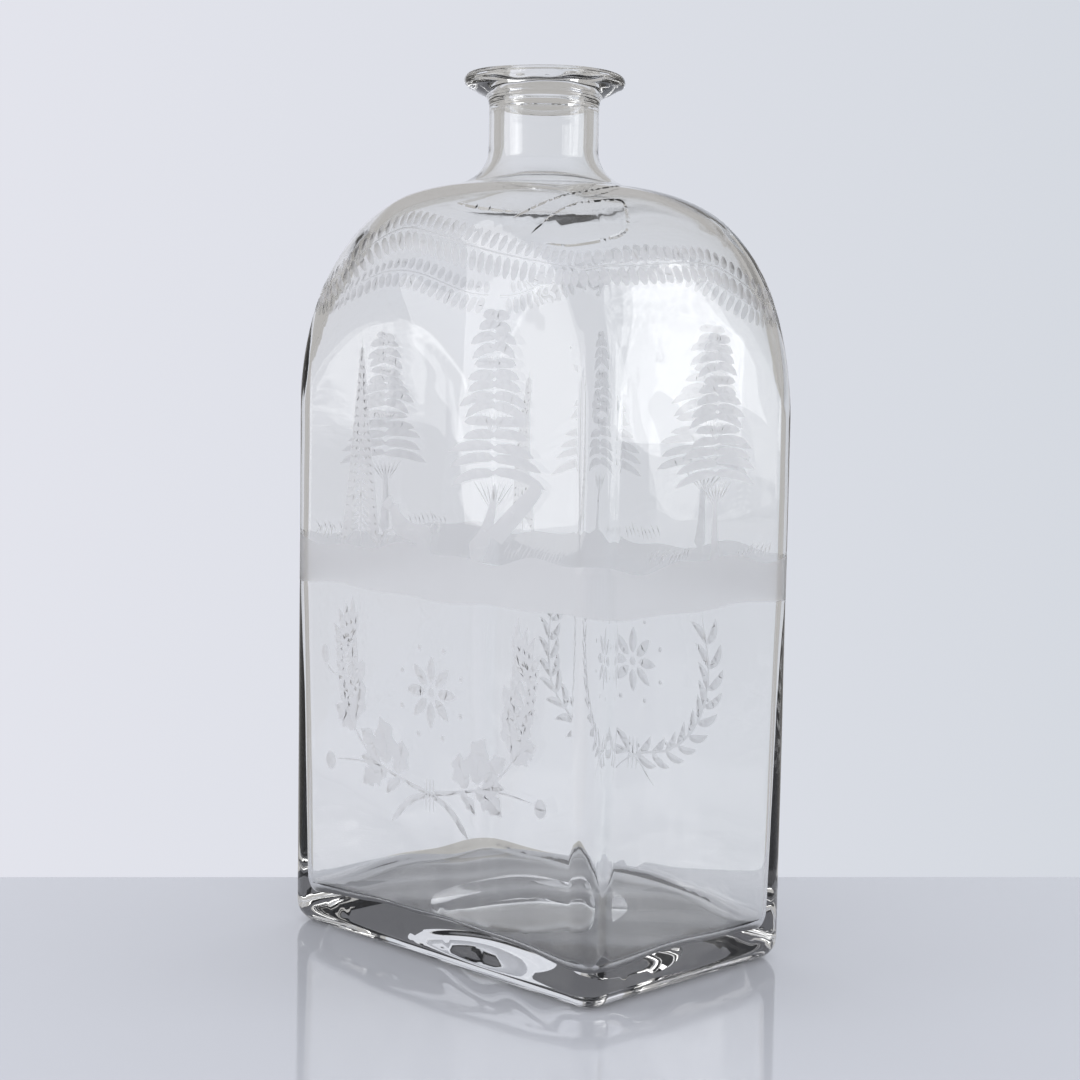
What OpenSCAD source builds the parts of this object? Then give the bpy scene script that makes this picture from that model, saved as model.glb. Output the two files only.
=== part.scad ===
// Rectangular mould-blown bottle of clear glass with a domed shoulder, a short neck and a
// flange lip laid on the neck's end. It stands on z = 0 with the neck's axis on Z, and its
// two long panels face -Y and +Y. Millimetres.

/* [Body] */
// Width across the two short panels
body_w = 122; // [95:1:160]
// Depth across the two long panels
body_d = 79; // [62:1:110]
// Height from the resting plane to the top of the lip
total_h = 240; // [195:1:300]
// Radius of the four upright corners
corner_r = 8; // [6.5:0.5:14]
// Radius of the rounded heel where the panels meet the underside
heel_r = 6; // [2:0.5:6.5]

/* [Shoulder] */
// Height over which the corners bend in to the crown
shoulder_h = 66; // [50:1:82]
// Flatness of the crown: the power on the radius
crown_power = 3.6; // [2.6:0.1:4.6]
// Fullness of the shoulder's side: the power on the height
side_power = 2.2; // [1.8:0.1:2.8]

/* [Neck] */
// Outer diameter of the neck
neck_d = 30; // [26:0.5:40]
// Height of the neck from the crown to the seat of the lip ring
neck_h = 20.3; // [16:0.1:30]
// Radius of the sweep from the neck to the crown
sweep_r = 10.5; // [7:0.5:13]
// Diameter of the bore through the neck and the mouth
bore_d = 23.5; // [16:0.5:24.5]

/* [Lip ring] */
// Outer diameter of the flange
lip_d = 44.5; // [38:0.5:56]
// Height of the ring from its seat on the neck to the top of the mouth
lip_h = 9.5; // [7.5:0.1:14]
// Thickness of the flange at its rounded edge
rim_t = 4; // [2.5:0.1:5]
// Height of the collar between the seat and the flange's underside
collar_h = 3.2; // [2:0.1:4]
// How far the collar swells past the neck
collar_swell = 0.8; // [0.2:0.1:1.6]
// Radius of the fire-polished edge inside the mouth
mouth_r = 1.6; // [0.6:0.1:2.4]

/* [Glass] */
// Wall of the panels and of the shoulder
wall_t = 2.8; // [2:0.1:3.6]
// Wall where the panels run into the base
foot_wall_t = 5.5; // [4:0.1:7]
// Height at which the panels start to thicken downwards
taper_z = 100; // [60:1:120]
// Thickness of the base under the corners of the floor
floor_t = 8; // [5:0.5:12]
// How far the middle of the floor stands above its corners
floor_rise = 5; // [2:0.5:8]
// Radius of the rounding between the walls and the floor
floor_r = 4; // [2:0.5:5]
// Diameter of the shallow hollow pushed up under the base
push_d = 52; // [30:1:56]
// Depth of that hollow
push_h = 2.4; // [1:0.1:3.5]

/* [Hidden] */

$fn = 96;
ARC_STEPS = 10;
DOME_STEPS = 26;
HULL_FN = 32;
PAST = 1;
// The dome starts this far outside the corners, so that it meets them at a clear angle
DOME_CLEAR = 0.3;

neck_r = neck_d / 2;
bore_r = bore_d / 2;
lip_r = lip_d / 2;
seat_z = total_h - lip_h;
crown_z = seat_z - neck_h;
spring_z = crown_z - shoulder_h;
corner_reach = norm([body_w / 2 - corner_r, body_d / 2 - corner_r]) + corner_r;
dome_r = corner_reach + DOME_CLEAR;

// Points of an arc about [u, v], from angle a0 to angle a1
function arc(u, v, r, a0, a1, steps = ARC_STEPS) =
    [for (i = [0:steps]) let (a = a0 + (a1 - a0) * i / steps) [u + r * cos(a), v + r * sin(a)]];

// Height of the dome at radius r, for a dome of radius dr and height dh over the spring line
function dome_z(r, dr, dh) = spring_z + dh * pow(1 - pow(r / dr, crown_power), 1 / side_power);

// Side of the dome from its widest radius in to radius r_end: (r/dr)^crown + (z/dh)^side = 1
function dome_side(dr, dh, r_end) =
    let (end_angle = acos(pow(r_end / dr, crown_power / 2)))
    [for (i = [0:DOME_STEPS]) let (a = end_angle * i / DOME_STEPS)
        [dr * pow(cos(a), 2 / crown_power), spring_z + dh * pow(sin(a), 2 / side_power)]];

// Half outline of dome, sweep and neck, closed along the axis down to z_low
function vessel_outline(dr, dh, tube_r, sweep, z_low, z_high) =
    let (r_end = tube_r + sweep, z_end = dome_z(r_end, dr, dh))
    concat(
        [[0, z_low], [dr, z_low]],
        dome_side(dr, dh, r_end),
        [for (p = arc(r_end, z_end + sweep, sweep, 270, 180)) if (p[0] < r_end) p],
        [[tube_r, z_high], [0, z_high]]);

// Plan of the body, drawn in by inset, with corners of radius r
module plan(inset, r, fn = $fn) {
    flat_x = body_w / 2 - inset - r;
    flat_y = body_d / 2 - inset - r;
    square([2 * (flat_x + r), 2 * flat_y], center = true);
    square([2 * flat_x, 2 * (flat_y + r)], center = true);
    for (sx = [-1, 1], sy = [-1, 1])
        translate([sx * flat_x, sy * flat_y]) circle(r, $fn = fn);
}

// Upright section through the panels, half wide, with both lower edges rounded by the heel
module heel_section(half) {
    polygon(concat(
        [[-half, crown_z]],
        arc(-half + heel_r, heel_r, heel_r, 180, 270),
        arc(half - heel_r, heel_r, heel_r, 270, 360),
        [[half, crown_z]]));
}

// The four panels with their rounded corners and heel, up to the crown
module panel_block() {
    flat_x = body_w - 2 * corner_r;
    flat_y = body_d - 2 * corner_r;
    translate([-flat_x / 2, 0, 0]) rotate([90, 0, 90])
        linear_extrude(flat_x) heel_section(body_d / 2);
    translate([0, flat_y / 2, 0]) rotate([90, 0, 0])
        linear_extrude(flat_y) heel_section(body_w / 2);
    for (sx = [-1, 1], sy = [-1, 1])
        translate([sx * flat_x / 2, sy * flat_y / 2, 0])
            rotate_extrude()
                polygon(concat(
                    [[0, 0]],
                    arc(corner_r - heel_r, heel_r, heel_r, 270, 360),
                    [[corner_r, crown_z], [0, crown_z]]));
}

// Outside of the vessel: panels cut by the dome, with the neck on top
module outside() {
    intersection() {
        union() {
            panel_block();
            translate([0, 0, crown_z - shoulder_h / 2])
                cylinder(r = neck_r + sweep_r, h = seat_z - crown_z + shoulder_h / 2);
        }
        rotate_extrude()
            polygon(vessel_outline(dome_r, shoulder_h, neck_r, sweep_r, -PAST, seat_z));
    }
}

// Inside of the panels: straight above taper_z, thickening below it, rounded into the floor
module inside_panels() {
    straight_r = corner_r - wall_t / 2;
    foot_r = corner_r - foot_wall_t / 2;
    translate([0, 0, taper_z])
        linear_extrude(crown_z - taper_z) plan(wall_t, straight_r);
    hull() {
        translate([0, 0, taper_z]) linear_extrude(0.01) plan(wall_t, straight_r, HULL_FN);
        for (a = [0:30:90])
            translate([0, 0, floor_t + floor_r * (1 - cos(a))]) linear_extrude(0.01)
                plan(foot_wall_t + floor_r * (1 - sin(a)), foot_r, HULL_FN);
    }
}

// The hollow of the vessel, with a floor that rises to its middle
module inside() {
    neck_wall = neck_r - bore_r;
    floor_reach = norm([body_w / 2 - foot_wall_t, body_d / 2 - foot_wall_t]);
    floor_ball_r = (pow(floor_reach, 2) + pow(floor_rise, 2)) / (2 * floor_rise);
    difference() {
        intersection() {
            union() {
                inside_panels();
                translate([0, 0, crown_z - shoulder_h / 2])
                    cylinder(r = neck_r, h = seat_z + PAST - crown_z + shoulder_h / 2);
            }
            rotate_extrude()
                polygon(vessel_outline(dome_r - wall_t, shoulder_h - wall_t, bore_r,
                    sweep_r + neck_wall, 0, seat_z + PAST));
        }
        translate([0, 0, floor_t + floor_rise - floor_ball_r]) sphere(floor_ball_r);
    }
}

// Shallow hollow under the base, so that the bottle stands on a flat border
module push_up() {
    push_ball_r = (pow(push_d / 2, 2) + pow(push_h, 2)) / (2 * push_h);
    translate([0, 0, push_h - push_ball_r]) sphere(push_ball_r);
}

// The blown vessel, from the base to the cracked-off end of the neck
module bottle_body() {
    color("lightsteelblue", 0.45)
        difference() {
            outside();
            inside();
            push_up();
        }
}

// The ring of glass laid on the neck's end and tooled out into a flat flange
module lip_ring() {
    rim_r = rim_t / 2;
    under_z = seat_z + collar_h;
    color("lightsteelblue", 0.55)
        rotate_extrude()
            polygon(concat(
                [[bore_r, seat_z], [neck_r, seat_z], [neck_r + collar_swell, under_z]],
                arc(lip_r - rim_r, total_h - rim_r, rim_r, 280, 450),
                arc(bore_r + mouth_r, total_h - mouth_r, mouth_r, 90, 180)));
}

bottle_body();
lip_ring();
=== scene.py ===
import math

import bmesh
import bpy
import numpy as np
from mathutils import Matrix, Vector
from mathutils.geometry import delaunay_2d_cdt


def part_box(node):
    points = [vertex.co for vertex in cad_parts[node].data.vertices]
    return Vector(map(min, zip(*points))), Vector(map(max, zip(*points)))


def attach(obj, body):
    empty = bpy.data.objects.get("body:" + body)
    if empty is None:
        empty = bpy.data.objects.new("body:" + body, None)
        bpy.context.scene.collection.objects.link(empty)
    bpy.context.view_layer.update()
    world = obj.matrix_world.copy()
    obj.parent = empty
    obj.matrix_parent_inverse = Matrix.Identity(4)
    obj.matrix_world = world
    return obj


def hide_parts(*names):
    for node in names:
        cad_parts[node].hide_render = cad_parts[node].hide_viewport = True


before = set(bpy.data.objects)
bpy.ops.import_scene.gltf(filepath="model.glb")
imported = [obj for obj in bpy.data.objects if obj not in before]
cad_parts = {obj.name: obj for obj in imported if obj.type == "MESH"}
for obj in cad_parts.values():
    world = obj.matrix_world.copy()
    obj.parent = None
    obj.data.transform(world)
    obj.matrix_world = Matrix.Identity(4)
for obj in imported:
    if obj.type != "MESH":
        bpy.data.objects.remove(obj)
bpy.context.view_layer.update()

MM = 0.001

# The blown vessel, outside.
# One gather of clear glass blown into a box-shaped mould: flat panels with rounded corners, a
# dome that cuts the panels off in arches, and a short neck. Sizes are in millimetres.
body_low, body_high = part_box("bottle_body")
ring_low, ring_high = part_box("lip_ring")
BODY_W = (body_high[0] - body_low[0]) / MM
BODY_D = (body_high[1] - body_low[1]) / MM
SEAT_Z = body_high[2] / MM
LIP_Z = ring_high[2] / MM
LIP_R = (ring_high[0] - ring_low[0]) / MM / 2
CORNER_R = 8.0
HEEL_R = 6.0
NECK_R = 15.0
BORE_R = 11.75
SWEEP_R = 10.5
NECK_H = 20.3
SHOULDER_H = 66.0
CROWN_Z = SEAT_Z - NECK_H
SPRING_Z = CROWN_Z - SHOULDER_H
CROWN_POWER = 3.6
SIDE_POWER = 2.2
DOME_SPARE = 0.3
DOME_R = math.hypot(BODY_W / 2 - CORNER_R, BODY_D / 2 - CORNER_R) + CORNER_R + DOME_SPARE
EDGE_BLEND = 15.0
BLEND_RUN = 50.0
BLEND_GROWTH = 1.3
LEAST_CORNER = 3.0
QUARTER = math.pi / 2 * CORNER_R
FLAT_X = BODY_W - 2 * CORNER_R
FLAT_Y = BODY_D - 2 * CORNER_R

# The way up the body, t: the height as far as FAN_Z, then DOME_RUN for the fan of rays over the
# shoulder, which ends at FAN_END, and NECK_RUN each for the sweep and for the neck.
FAN_Z = 146.0
FAN_END = math.radians(67.5)
DOME_RUN = 84.0
NECK_RUN = 12.0
SWEEP_T = FAN_Z + DOME_RUN
NECK_T = SWEEP_T + NECK_RUN
T_TOP = FAN_Z + DOME_RUN + 2 * NECK_RUN

# The way round the body, s, from the middle of the rear left corner: left panel, front panel,
# right panel and back panel, with the corners between them.
RUNS = np.array([QUARTER / 2, FLAT_Y, QUARTER, FLAT_X, QUARTER, FLAT_Y, QUARTER, FLAT_X,
                 QUARTER / 2])
STARTS = np.concatenate([[0], np.cumsum(RUNS)])
AROUND = STARTS[-1]
FRONT_MID = STARTS[3] + FLAT_X / 2
RIGHT_MID = STARTS[5] + FLAT_Y / 2
BACK_MID = STARTS[7] + FLAT_X / 2
LEFT_MID = STARTS[1] + FLAT_Y / 2
CORNER_OF_RUN = ((-1, 1, 135, 180), None, (-1, -1, 180, 270), None, (1, -1, 270, 360), None,
                 (1, 1, 0, 90), None, (-1, 1, 90, 135))


def plan(s, inset, radius):
    """Point of the body's plan at distance s round it: a rectangle drawn in by inset, each
    corner an arc of the given radius, and s shared out over the same runs whatever the inset."""
    s = np.asarray(s, dtype=float) % AROUND
    inset = np.broadcast_to(np.asarray(inset, dtype=float), s.shape)
    radius = np.broadcast_to(np.asarray(radius, dtype=float), s.shape)
    half_x = BODY_W / 2 - inset - radius
    half_y = BODY_D / 2 - inset - radius
    x, y = np.zeros_like(s), np.zeros_like(s)
    for k, corner in enumerate(CORNER_OF_RUN):
        on = (s >= STARTS[k]) & (s <= STARTS[k + 1])
        f = (s[on] - STARTS[k]) / RUNS[k]
        if corner:
            side_x, side_y, a0, a1 = corner
            a = np.radians(a0 + (a1 - a0) * f)
            x[on] = side_x * half_x[on] + radius[on] * np.cos(a)
            y[on] = side_y * half_y[on] + radius[on] * np.sin(a)
        else:
            far = 2 * f - 1
            if k == 1:
                x[on], y[on] = -half_x[on] - radius[on], -far * half_y[on]
            elif k == 3:
                x[on], y[on] = far * half_x[on], -half_y[on] - radius[on]
            elif k == 5:
                x[on], y[on] = half_x[on] + radius[on], far * half_y[on]
            else:
                x[on], y[on] = -far * half_x[on], half_y[on] + radius[on]
    return x, y


def panel_gap(x, y, inset):
    """Signed distance to the upright box with rounded corners, drawn in by inset."""
    radius = np.maximum(CORNER_R - inset, LEAST_CORNER)
    ox = np.abs(x) - (BODY_W / 2 - inset - radius)
    oy = np.abs(y) - (BODY_D / 2 - inset - radius)
    out = np.hypot(np.maximum(ox, 0), np.maximum(oy, 0))
    return out + np.minimum(np.maximum(ox, oy), 0) - radius


def dome_gap(x, y, z, inset):
    """Distance to the dome (r/R)^crown + (h/H)^side = 1, from its level set over its gradient."""
    wide = DOME_R - inset
    tall = SHOULDER_H - inset
    r = np.hypot(x, y) / wide
    h = np.maximum(z - SPRING_Z, 1e-6) / tall
    level = r ** CROWN_POWER + h ** SIDE_POWER - 1
    slope_r = CROWN_POWER * r ** (CROWN_POWER - 1) / wide
    slope_h = SIDE_POWER * h ** (SIDE_POWER - 1) / tall
    slope = np.hypot(slope_r, slope_h)
    return level / np.maximum(slope, 1e-6)


def shoulder_gap(x, y, z, inset):
    """The panels and the dome joined by a smooth maximum whose blend grows up the shoulder."""
    a = panel_gap(x, y, inset)
    b = dome_gap(x, y, z, inset)
    k = EDGE_BLEND * np.clip((z - FAN_Z) / BLEND_RUN, 0.02, 1) ** BLEND_GROWTH
    h = np.maximum(k - np.abs(a - b), 0) / k
    return np.maximum(a, b) + h * h * k / 4


FAR_OUT = 110.0
HALVINGS = 34


def fan_out(cos_s, sin_s, rise, inset):
    """Where a ray from the axis at FAN_Z, with the given rise, meets the shoulder: the interval
    from the axis to a point far outside is halved until it is as good as nothing."""
    near = np.zeros_like(rise)
    far = np.full_like(rise, FAR_OUT)
    for _ in range(HALVINGS):
        mid = (near + far) / 2
        run = mid * np.cos(rise)
        out = shoulder_gap(run * cos_s, run * sin_s, FAN_Z + mid * np.sin(rise), inset) > 0
        far = np.where(out, mid, far)
        near = np.where(out, near, mid)
    mid = (near + far) / 2
    run = mid * np.cos(rise)
    return run * cos_s, run * sin_s, FAN_Z + mid * np.sin(rise)


def ripple(s, z, scale, seed):
    """Slow unevenness of blown glass: a sum of nine sines round and up the body, each with
    whole turns round it so that it closes, mostly between -1 and 1."""
    rng = np.random.default_rng(seed)
    total = np.zeros_like(np.asarray(s, dtype=float))
    for _ in range(9):
        turns = rng.integers(1, 9)
        pitch = rng.uniform(45, 150) / scale
        phase, lean = rng.uniform(0, 2 * math.pi, 2)
        total += np.sin(2 * math.pi * (turns * s / AROUND + z / pitch) + phase) * math.cos(lean)
    return total / 4


# A Bezier handle this share of the radius long makes a quarter circle.
CIRCLE_PULL = 0.5523


def upright(s, t, inset, radius, tube_r, sweep, top_z):
    """A wall from its foot to the neck's end. Up to FAN_Z t is the height; then it fans over
    the shoulder, turns up through the sweep (a Bezier curve that starts along the shoulder's own
    slope and ends upright) and runs up the neck."""
    s, t = np.broadcast_arrays(np.asarray(s, dtype=float), np.asarray(t, dtype=float))
    inset = np.broadcast_to(np.asarray(inset, dtype=float), s.shape)
    px, py = plan(s, inset, radius)
    way = np.hypot(px, py)
    cos_s, sin_s = px / way, py / way
    rise = FAN_END * np.clip((t - FAN_Z) / DOME_RUN, 0, 1)
    x, y, z = fan_out(cos_s, sin_s, rise, inset)
    low = t <= FAN_Z
    base = shoulder_gap(px, py, np.full_like(px, FAN_Z), inset)
    x, y = np.where(low, px, x), np.where(low, py, y)
    x, y = x - np.where(low, base * cos_s, 0), y - np.where(low, base * sin_s, 0)
    z = np.where(low, t, z)
    end_x, end_y, end_z = fan_out(cos_s, sin_s, np.full_like(rise, FAN_END), inset)
    end_r = np.hypot(end_x, end_y)
    near_x, near_y, near_z = fan_out(cos_s, sin_s, np.full_like(rise, FAN_END - 0.01), inset)
    lean = (end_z - near_z) / (np.hypot(near_x, near_y) - end_r)
    turn = np.clip((t - SWEEP_T) / NECK_RUN, 0, 1)
    reach = CIRCLE_PULL * (end_r - tube_r)
    foot_z = end_z + sweep
    b0, b1 = (1 - turn) ** 3, 3 * turn * (1 - turn) ** 2
    b2, b3 = 3 * turn ** 2 * (1 - turn), turn ** 3
    swept_r = b0 * end_r + b1 * (end_r - reach) + (b2 + b3) * tube_r
    low_handle, high_handle = end_z + reach * lean, foot_z - CIRCLE_PULL * sweep
    swept_z = b0 * end_z + b1 * low_handle + b2 * high_handle + b3 * foot_z
    up = np.clip((t - NECK_T) / NECK_RUN, 0, 1)
    neck_z = foot_z + (top_z - foot_z) * up
    high = t > SWEEP_T
    tube = t > NECK_T
    r = np.where(tube, tube_r, swept_r)
    x = np.where(high, r * cos_s, x)
    y = np.where(high, r * sin_s, y)
    z = np.where(tube, neck_z, np.where(high, swept_z, z))
    return np.stack([x, y, z], axis=-1)


SKIN_WAVE = 0.05


def skin_inset(s, t):
    """How far the outer skin lies inside the mould: a faint ripple that fades out at the neck."""
    return SKIN_WAVE * ripple(s, t, 1.0, 3) * np.clip((T_TOP - 20 - t) / 40, 0, 1) + SKIN_WAVE


def outside(s, t):
    """The outer skin: the moulded form less its ripple."""
    return upright(s, t, skin_inset(s, t), CORNER_R, NECK_R, SWEEP_R, SEAT_Z)


def form_normals(surface, s, t):
    """Outward unit normal of a surface of (s, t), from its two central differences."""
    step = 0.05
    du = surface(s + step, t) - surface(s - step, t)
    dv = surface(s, t + step) - surface(s, t - step)
    n = np.cross(du, dv)
    return n / np.maximum(np.linalg.norm(n, axis=-1, keepdims=True), 1e-12)


CORNER_PITCH = 0.9
PANEL_PITCH = 2.6


def steps_round():
    """Stations round the body: close together on the corners, wider on the flat panels."""
    stations = []
    for k, run in enumerate(RUNS):
        pitch = CORNER_PITCH if CORNER_OF_RUN[k] else PANEL_PITCH
        count = max(2, round(run / pitch))
        stations.append(STARTS[k] + run * np.arange(count) / count)
    return np.concatenate(stations)


# The wheel-cut ornament.
# Shallow matt cuts ground into the polished skin with a small wheel: a border of petals round
# the shoulder, trees and a running hound on a band of ground, and oak and laurel wreaths.
motifs = []
CUT = 0.16
LEAF_CUT = 0.22

# The vessel's material slots.
POLISHED, GROUND, FUSED, FOLDED = 0, 1, 2, 3


def raised(points):
    """Points (s, height) of the upright panels as (s, t): above FAN_Z t follows the angle of
    the ray that meets the panel at that height."""
    points = np.asarray(points, dtype=float).reshape(-1, 2)
    way = np.hypot(*plan(points[:, 0], 0.0, CORNER_R))
    angle = np.arctan2(points[:, 1] - FAN_Z, way)
    t = np.where(points[:, 1] > FAN_Z, FAN_Z + angle / FAN_END * DOME_RUN, points[:, 1])
    return np.stack([points[:, 0], t], axis=1)


def add_cut(outline, ridge=(), depth=CUT, fanned=False):
    """One cut: its outline in (s, height), or in (s, t) if fanned, turned anticlockwise, and
    the points of the groove along its bottom."""
    if not fanned:
        outline, ridge = raised(outline), raised(ridge)
    outline = np.asarray(outline, dtype=float)
    x, y = outline.T
    if np.sum(x * np.roll(y, -1) - y * np.roll(x, -1)) < 0:
        outline = outline[::-1]
    motifs.append((outline, np.asarray(ridge, dtype=float).reshape(-1, 2), depth))


def blade(spine, half_widths, depth=CUT, lobes=0):
    """A leaf, frond or stroke: two edges at half_widths either side of a spine of points, with
    both ends pointed; lobes scallop the edges as on an oak leaf."""
    spine = np.asarray(spine, dtype=float)
    along = np.gradient(spine, axis=0)
    along /= np.maximum(np.linalg.norm(along, axis=1, keepdims=True), 1e-9)
    side = np.stack([-along[:, 1], along[:, 0]], axis=1)
    w = np.asarray(half_widths, dtype=float)[:, None]
    if lobes:
        f = np.linspace(0, 1, len(spine))[:, None]
        w = w * (1 + 0.24 * np.sin(2 * math.pi * lobes * f + 0.6))
    left = (spine + side * w)[1:-1]
    right = (spine - side * w)[1:-1][::-1]
    add_cut(np.vstack([spine[:1], right[::-1], spine[-1:], left[::-1]]), spine[2:-2:2], depth)


def curve(points, count):
    """Smooth curve through a few points: a Catmull-Rom spline sampled evenly in its parameter."""
    p = np.asarray(points, dtype=float)
    p = np.vstack([2 * p[0] - p[1], p, 2 * p[-1] - p[-2]])
    u = np.linspace(0, len(p) - 3 - 1e-9, count)
    k = u.astype(int)
    f = (u - k)[:, None]
    a, b, c, d = p[k], p[k + 1], p[k + 2], p[k + 3]
    return 0.5 * (2 * b + (c - a) * f + (2 * a - 5 * b + 4 * c - d) * f ** 2
                  + (3 * b - 3 * c + d - a) * f ** 3)


def leaf(x, z, angle, length, width, lobes=0, bend=0.12):
    """A leaf from its stalk end at (x, z): its midrib bows in a parabola, and its half-widths
    follow a sine pushed towards its tip."""
    count = 13 if lobes else 9
    f = np.linspace(0, 1, count)
    a = math.radians(angle)
    go = np.array([math.cos(a), math.sin(a)])
    across = np.array([-go[1], go[0]])
    bow = bend * length * f * (1 - f) * 4
    spine = np.array([x, z]) + np.outer(f * length, go) + np.outer(bow, across)
    blade(spine, width / 2 * np.sin(math.pi * f ** 0.85) ** 0.8, LEAF_CUT, lobes)


def stroke(points, width, count=7, depth=CUT / 2):
    """A thin line cut along a curve, a little wider in its middle."""
    f = np.linspace(0, 1, count)
    blade(curve(points, count), width / 2 * (0.45 + 0.55 * np.sin(math.pi * f)), depth)


def disc(x, z, wide, tall, count=12, lean=0.0, fanned=False):
    """An oval cut, such as an acorn, a berry or a petal, with its deepest point in the middle."""
    a = 2 * math.pi * np.arange(count) / count
    px, pz = wide / 2 * np.cos(a), tall / 2 * np.sin(a)
    c, w = math.cos(math.radians(lean)), math.sin(math.radians(lean))
    add_cut(np.stack([x + px * c - pz * w, z + px * w + pz * c], axis=1), [[x, z]], CUT, fanned)


# Border of petals: a line with a row of petals above it and another below. The line's height is
# the fan's angle in degrees near each panel's middle and at each corner.
BORDER = ((LEFT_MID, 37.0), (STARTS[2] + QUARTER / 2, 28.0), (FRONT_MID - 8, 52.0),
          (STARTS[4] + QUARTER / 2, 33.0), (RIGHT_MID, 36.0), (STARTS[6] + QUARTER / 2, 26.0),
          (BACK_MID, 50.0), (AROUND, 29.0))


def border_t(s):
    """Height of the border's line at s: half cosine waves between the listed heights."""
    at = np.array([BORDER[-1][0] - AROUND] + [b[0] for b in BORDER])
    deg = np.array([BORDER[-1][1]] + [b[1] for b in BORDER])
    s = np.asarray(s, dtype=float)
    k = np.clip(np.searchsorted(at, s, side="right") - 1, 0, len(at) - 2)
    f = (s - at[k]) / (at[k + 1] - at[k])
    swell = (1 - np.cos(math.pi * f)) / 2
    d = deg[k] + (deg[k + 1] - deg[k]) * swell
    return FAN_Z + np.radians(d) / FAN_END * DOME_RUN


PETAL_PITCH = 3.15
UPPER_PETAL = (2.6, 4.0)
LOWER_PETAL = (2.95, 4.6)
LINE_HALF = 0.2
LINE_END = 2.0
petals = int((AROUND - 2 * PETAL_PITCH) / PETAL_PITCH)
for i in range(petals):
    s = PETAL_PITCH * (i + 1.0)
    lean = 28 * math.sin(2.1 * s / 60)
    slope = float(border_t(s + 1) - border_t(s - 1)) / 2
    tilt = math.degrees(math.atan(slope))
    disc(s, float(border_t(s)) + 2.6, *UPPER_PETAL, 9, tilt - 20 + lean / 4, True)
    disc(s + 1.4, float(border_t(s + 1.4)) - 3.0, *LOWER_PETAL, 9, tilt + 14 - lean / 4, True)
line_s = np.linspace(LINE_END, AROUND - LINE_END, 130)
line_t = border_t(line_s)
line_top = np.stack([line_s, line_t + LINE_HALF], axis=1)
line_low = np.stack([line_s, line_t - LINE_HALF], axis=1)
add_cut(np.vstack([line_top, line_low[::-1]]), fanned=True)

# Folds in the shoulder's glass: a curled loop and two short creases, left where the gather was
# folded in the mould. They stand a little proud and stay polished.
folds = []
FOLD_RISE = -0.22
FOLD_HALF = 0.75


def fold(points, count):
    """A polished crease along a curve through points (x, y, z) of the shoulder: each is seen
    from the axis at FAN_Z, its bearing giving s and its elevation t."""
    points = np.asarray(points, dtype=float)
    table = np.linspace(0, AROUND, 2000)
    px, py = plan(table[:-1], 0.0, CORNER_R)
    bearing = np.unwrap(np.arctan2(py, px))
    want = np.arctan2(points[:, 1], points[:, 0])
    want = bearing[0] + (want - bearing[0]) % (2 * math.pi)
    at_s = np.interp(want, bearing, table[:-1])
    rise = np.arctan2(points[:, 2] - FAN_Z, np.hypot(points[:, 0], points[:, 1]))
    spine = curve(np.stack([at_s, FAN_Z + rise / FAN_END * DOME_RUN], axis=1), count)
    folds.append(len(motifs))
    along = np.gradient(spine, axis=0)
    along /= np.linalg.norm(along, axis=1, keepdims=True)
    side = np.stack([-along[:, 1], along[:, 0]], axis=1)
    half = FOLD_HALF * np.sin(math.pi * np.linspace(0.04, 0.96, count))[:, None] ** 0.5
    outline = np.vstack([spine + side * half, (spine - side * half)[::-1]])
    add_cut(outline, spine[1:-1], FOLD_RISE, True)


fold([(35.0, -39.0, 196.5), (38.0, -31.5, 200.8), (40.9, -22.0, 202.8), (42.9, -14.9, 203.4),
      (47.3, -16.9, 200.1), (51.0, -21.5, 195.2), (49.7, -29.1, 192.4), (45.6, -35.5, 192.2),
      (40.2, -38.6, 193.6)], 49)
fold([(28.1, -38.5, 201.2), (32.4, -33.1, 202.9), (35.5, -21.9, 205.3), (32.2, -3.6, 208.3)], 25)
fold([(4.9, -37.8, 206.0), (17.2, -38.3, 203.8), (26.5, -37.6, 202.6)], 19)

# Band of ground: a broad matt strip all round, its upper edge hummocky, its lower edge freehand.
GROUND_TOP = 111.5
GROUND_LOW = 99.2
band_s = np.linspace(0, AROUND, 121)
lap = band_s / AROUND * 2 * math.pi
hummocks = 1.2 * np.sin(lap * 7) + 0.8 * np.sin(lap * 16 + 1)
band_top = GROUND_TOP + hummocks
band_low = GROUND_LOW + 0.5 * np.sin(lap * 5) + 0.35 * np.sin(lap * 13)
band_top[-1], band_low[-1] = band_top[0], band_low[0]
top_edge = np.stack([band_s, band_top], axis=1)
add_cut(np.vstack([np.stack([band_s, band_low], axis=1), top_edge[::-1]]))


def frond(x, z, side, length, rise, droop, width):
    """A palm-like frond: out from the trunk, up by rise and down by droop times the square."""
    f = np.linspace(0, 1, 8)
    spine = np.stack([x + side * length * f, z + rise * f - droop * f ** 2], axis=1)
    blade(spine, width / 2 * np.sqrt(np.sin(math.pi * np.clip(0.12 + 0.84 * f, 0, 1))))


# Each tier of a tree: its pairs of fronds, how far they reach and how far apart they are.
TIERS = ((4, 9.0, 2.7), (5, 13.0, 2.6), (5, 18.5, 3.2))


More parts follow.
